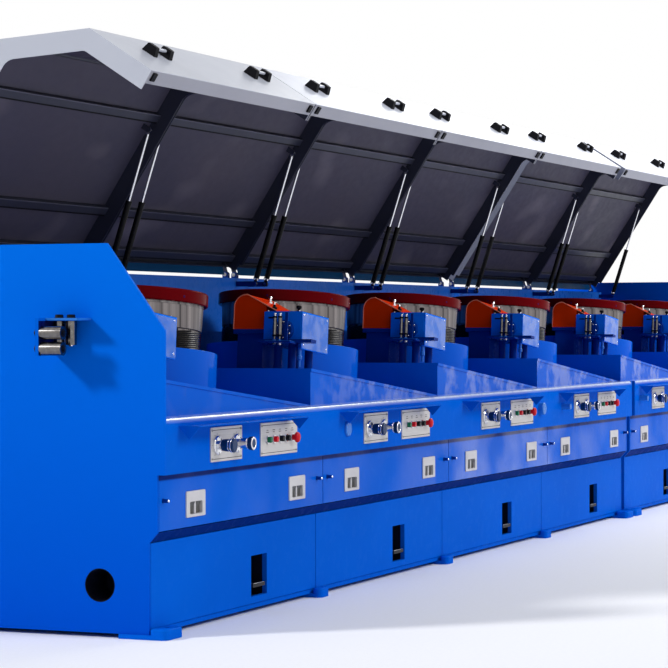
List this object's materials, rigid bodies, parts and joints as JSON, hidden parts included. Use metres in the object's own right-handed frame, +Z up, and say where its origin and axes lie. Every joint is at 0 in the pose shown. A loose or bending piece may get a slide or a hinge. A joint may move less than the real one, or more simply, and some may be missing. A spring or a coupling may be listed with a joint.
{
  "type": "straight line wire drawing machine with six drums",
  "caption": "Straight line wire drawing machine: sloping decks with upright drums and die boxes under lift-up hoods, over a blue bed with a control band.",
  "frame": {"origin": "on the floor under the entry front foot, in the outer face of the entry plate and the front face of the control band", "axes": "+X along the line from the entry to the exit, +Y from the operator's side to the back, +Z up"},
  "size_m": [9.22, 1.559, 2.1681],
  "materials": {
    "blue_paint": "gloss enamel",
    "dark_blue_paint": "gloss enamel",
    "red_paint": "gloss enamel",
    "orange_paint": "gloss enamel",
    "white_paint": "satin enamel",
    "drum_steel": "turned",
    "chrome": "polished",
    "plate_alloy": "fine brushed",
    "grey_latch": "moulded",
    "strut_black": "satin black",
    "pedal_black": "satin black",
    "regulator_black": "moulded",
    "button_plastic": "moulded"
  },
  "bodies": {
    "machine": {"entry_end_plate": "blue_paint", "exit_end_plate": "blue_paint", "middle_end_plates": "blue_paint", "machine_beds": "blue_paint", "control_bands": "blue_paint", "cover_panels": "blue_paint", "cover_latches": "grey_latch", "lower_panels": "blue_paint", "sloping_decks": "blue_paint", "rear_cabinets": "blue_paint", "drum_pedestals": "blue_paint", "die_boxes": "blue_paint", "die_holders": "chrome", "die_box_stands": "dark_blue_paint", "guide_rollers": "chrome", "wire_guards": "orange_paint", "hood_brackets": "dark_blue_paint", "band_canopies": "blue_paint", "control_plates": "plate_alloy", "regulators": "regulator_black", "push_buttons": "button_plastic", "band_caps": "dark_blue_paint", "machine_feet": "blue_paint", "entry_wire_guide": "blue_paint"},
    "drum_body_1": {"drum_1": "drum_steel", "drum_ring_1": "red_paint"},
    "hood_body_1": {"hood_1": "white_paint"},
    "barrel_body_1": {"strut_barrels_1": "strut_black"},
    "rod_body_1": {"strut_rods_1": "chrome"},
    "pedal_body_1": {"pedal_1": "pedal_black"},
    "drum_body_2": {"drum_2": "drum_steel", "drum_ring_2": "red_paint"},
    "hood_body_2": {"hood_2": "white_paint"},
    "barrel_body_2": {"strut_barrels_2": "strut_black"},
    "rod_body_2": {"strut_rods_2": "chrome"},
    "pedal_body_2": {"pedal_2": "pedal_black"},
    "drum_body_3": {"drum_3": "drum_steel", "drum_ring_3": "red_paint"},
    "hood_body_3": {"hood_3": "white_paint"},
    "barrel_body_3": {"strut_barrels_3": "strut_black"},
    "rod_body_3": {"strut_rods_3": "chrome"},
    "pedal_body_3": {"pedal_3": "pedal_black"},
    "drum_body_4": {"drum_4": "drum_steel", "drum_ring_4": "red_paint"},
    "hood_body_4": {"hood_4": "white_paint"},
    "barrel_body_4": {"strut_barrels_4": "strut_black"},
    "rod_body_4": {"strut_rods_4": "chrome"},
    "pedal_body_4": {"pedal_4": "pedal_black"},
    "drum_body_5": {"drum_5": "drum_steel", "drum_ring_5": "red_paint"},
    "hood_body_5": {"hood_5": "white_paint"},
    "barrel_body_5": {"strut_barrels_5": "strut_black"},
    "rod_body_5": {"strut_rods_5": "chrome"},
    "pedal_body_5": {"pedal_5": "pedal_black"},
    "drum_body_6": {"drum_6": "drum_steel", "drum_ring_6": "red_paint"},
    "hood_body_6": {"hood_6": "white_paint"},
    "barrel_body_6": {"strut_barrels_6": "strut_black"},
    "rod_body_6": {"strut_rods_6": "chrome"},
    "pedal_body_6": {"pedal_6": "pedal_black"}
  },
  "joints": [
    {"name": "drum_spin_1", "type": "hinge", "parent": "machine", "child": "drum_body_1", "pos_m": [1.03185, 0.659, 1.12831], "axis": [0.0995, 0, 0.995], "continuous": true},
    {"name": "hood_hinge_1", "type": "hinge", "parent": "machine", "child": "hood_body_1", "pos_m": [0.75, 1.143, 1.35], "axis": [1, 0, 0], "range_deg": [0, 57]},
    {"name": "strut_swing_1", "type": "hinge", "parent": "machine", "child": "barrel_body_1", "pos_m": [0.75, 0.988, 1.304], "axis": [1, 0, 0], "range_deg": [-0.5, 65.95]},
    {"name": "strut_slide_1", "type": "slide", "parent": "barrel_body_1", "child": "rod_body_1", "axis": [0, -0.3085, 0.9512], "range_m": [-0.12902, 0.001]},
    {"name": "pedal_press_1", "type": "hinge", "parent": "machine", "child": "pedal_body_1", "pos_m": [0.94, 0.19, 0.088], "axis": [1, 0, 0], "range_deg": [0, 8], "stiffness_Nm_per_rad": 40, "springref_deg": -5.73},
    {"name": "drum_spin_2", "type": "hinge", "parent": "machine", "child": "drum_body_2", "pos_m": [2.53185, 0.659, 1.12831], "axis": [0.0995, 0, 0.995], "continuous": true},
    {"name": "hood_hinge_2", "type": "hinge", "parent": "machine", "child": "hood_body_2", "pos_m": [2.25, 1.143, 1.35], "axis": [1, 0, 0], "range_deg": [0, 57]},
    {"name": "strut_swing_2", "type": "hinge", "parent": "machine", "child": "barrel_body_2", "pos_m": [2.25, 0.988, 1.304], "axis": [1, 0, 0], "range_deg": [-0.5, 65.95]},
    {"name": "strut_slide_2", "type": "slide", "parent": "barrel_body_2", "child": "rod_body_2", "axis": [0, -0.3085, 0.9512], "range_m": [-0.12902, 0.001]},
    {"name": "pedal_press_2", "type": "hinge", "parent": "machine", "child": "pedal_body_2", "pos_m": [2.44, 0.19, 0.088], "axis": [1, 0, 0], "range_deg": [0, 8], "stiffness_Nm_per_rad": 40, "springref_deg": -5.73},
    {"name": "drum_spin_3", "type": "hinge", "parent": "machine", "child": "drum_body_3", "pos_m": [4.03185, 0.659, 1.12831], "axis": [0.0995, 0, 0.995], "continuous": true},
    {"name": "hood_hinge_3", "type": "hinge", "parent": "machine", "child": "hood_body_3", "pos_m": [3.75, 1.143, 1.35], "axis": [1, 0, 0], "range_deg": [0, 57]},
    {"name": "strut_swing_3", "type": "hinge", "parent": "machine", "child": "barrel_body_3", "pos_m": [3.75, 0.988, 1.304], "axis": [1, 0, 0], "range_deg": [-0.5, 65.95]},
    {"name": "strut_slide_3", "type": "slide", "parent": "barrel_body_3", "child": "rod_body_3", "axis": [0, -0.3085, 0.9512], "range_m": [-0.12902, 0.001]},
    {"name": "pedal_press_3", "type": "hinge", "parent": "machine", "child": "pedal_body_3", "pos_m": [3.94, 0.19, 0.088], "axis": [1, 0, 0], "range_deg": [0, 8], "stiffness_Nm_per_rad": 40, "springref_deg": -5.73},
    {"name": "drum_spin_4", "type": "hinge", "parent": "machine", "child": "drum_body_4", "pos_m": [5.53185, 0.659, 1.12831], "axis": [0.0995, 0, 0.995], "continuous": true},
    {"name": "hood_hinge_4", "type": "hinge", "parent": "machine", "child": "hood_body_4", "pos_m": [5.25, 1.143, 1.35], "axis": [1, 0, 0], "range_deg": [0, 57]},
    {"name": "strut_swing_4", "type": "hinge", "parent": "machine", "child": "barrel_body_4", "pos_m": [5.25, 0.988, 1.304], "axis": [1, 0, 0], "range_deg": [-0.5, 65.95]},
    {"name": "strut_slide_4", "type": "slide", "parent": "barrel_body_4", "child": "rod_body_4", "axis": [0, -0.3085, 0.9512], "range_m": [-0.12902, 0.001]},
    {"name": "pedal_press_4", "type": "hinge", "parent": "machine", "child": "pedal_body_4", "pos_m": [5.44, 0.19, 0.088], "axis": [1, 0, 0], "range_deg": [0, 8], "stiffness_Nm_per_rad": 40, "springref_deg": -5.73},
    {"name": "drum_spin_5", "type": "hinge", "parent": "machine", "child": "drum_body_5", "pos_m": [7.09185, 0.659, 1.12831], "axis": [0.0995, 0, 0.995], "continuous": true},
    {"name": "hood_hinge_5", "type": "hinge", "parent": "machine", "child": "hood_body_5", "pos_m": [6.81, 1.143, 1.35], "axis": [1, 0, 0], "range_deg": [0, 57]},
    {"name": "strut_swing_5", "type": "hinge", "parent": "machine", "child": "barrel_body_5", "pos_m": [6.81, 0.988, 1.304], "axis": [1, 0, 0], "range_deg": [-0.5, 65.95]},
    {"name": "strut_slide_5", "type": "slide", "parent": "barrel_body_5", "child": "rod_body_5", "axis": [0, -0.3085, 0.9512], "range_m": [-0.12902, 0.001]},
    {"name": "pedal_press_5", "type": "hinge", "parent": "machine", "child": "pedal_body_5", "pos_m": [7, 0.19, 0.088], "axis": [1, 0, 0], "range_deg": [0, 8], "stiffness_Nm_per_rad": 40, "springref_deg": -5.73},
    {"name": "drum_spin_6", "type": "hinge", "parent": "machine", "child": "drum_body_6", "pos_m": [8.59185, 0.659, 1.12831], "axis": [0.0995, 0, 0.995], "continuous": true},
    {"name": "hood_hinge_6", "type": "hinge", "parent": "machine", "child": "hood_body_6", "pos_m": [8.31, 1.143, 1.35], "axis": [1, 0, 0], "range_deg": [0, 57]},
    {"name": "strut_swing_6", "type": "hinge", "parent": "machine", "child": "barrel_body_6", "pos_m": [8.31, 0.988, 1.304], "axis": [1, 0, 0], "range_deg": [-0.5, 65.95]},
    {"name": "strut_slide_6", "type": "slide", "parent": "barrel_body_6", "child": "rod_body_6", "axis": [0, -0.3085, 0.9512], "range_m": [-0.12902, 0.001]},
    {"name": "pedal_press_6", "type": "hinge", "parent": "machine", "child": "pedal_body_6", "pos_m": [8.5, 0.19, 0.088], "axis": [1, 0, 0], "range_deg": [0, 8], "stiffness_Nm_per_rad": 40, "springref_deg": -5.73}
  ],
  "couplings": [
    {"joint": "strut_swing_1", "follows": "hood_hinge_1", "ratio": 1.1483},
    {"joint": "strut_slide_1", "follows": "hood_hinge_1", "m_per_rad": -0.12868},
    {"joint": "strut_swing_2", "follows": "hood_hinge_2", "ratio": 1.1483},
    {"joint": "strut_slide_2", "follows": "hood_hinge_2", "m_per_rad": -0.12868},
    {"joint": "strut_swing_3", "follows": "hood_hinge_3", "ratio": 1.1483},
    {"joint": "strut_slide_3", "follows": "hood_hinge_3", "m_per_rad": -0.12868},
    {"joint": "strut_swing_4", "follows": "hood_hinge_4", "ratio": 1.1483},
    {"joint": "strut_slide_4", "follows": "hood_hinge_4", "m_per_rad": -0.12868},
    {"joint": "strut_swing_5", "follows": "hood_hinge_5", "ratio": 1.1483},
    {"joint": "strut_slide_5", "follows": "hood_hinge_5", "m_per_rad": -0.12868},
    {"joint": "strut_swing_6", "follows": "hood_hinge_6", "ratio": 1.1483},
    {"joint": "strut_slide_6", "follows": "hood_hinge_6", "m_per_rad": -0.12868}
  ]
}
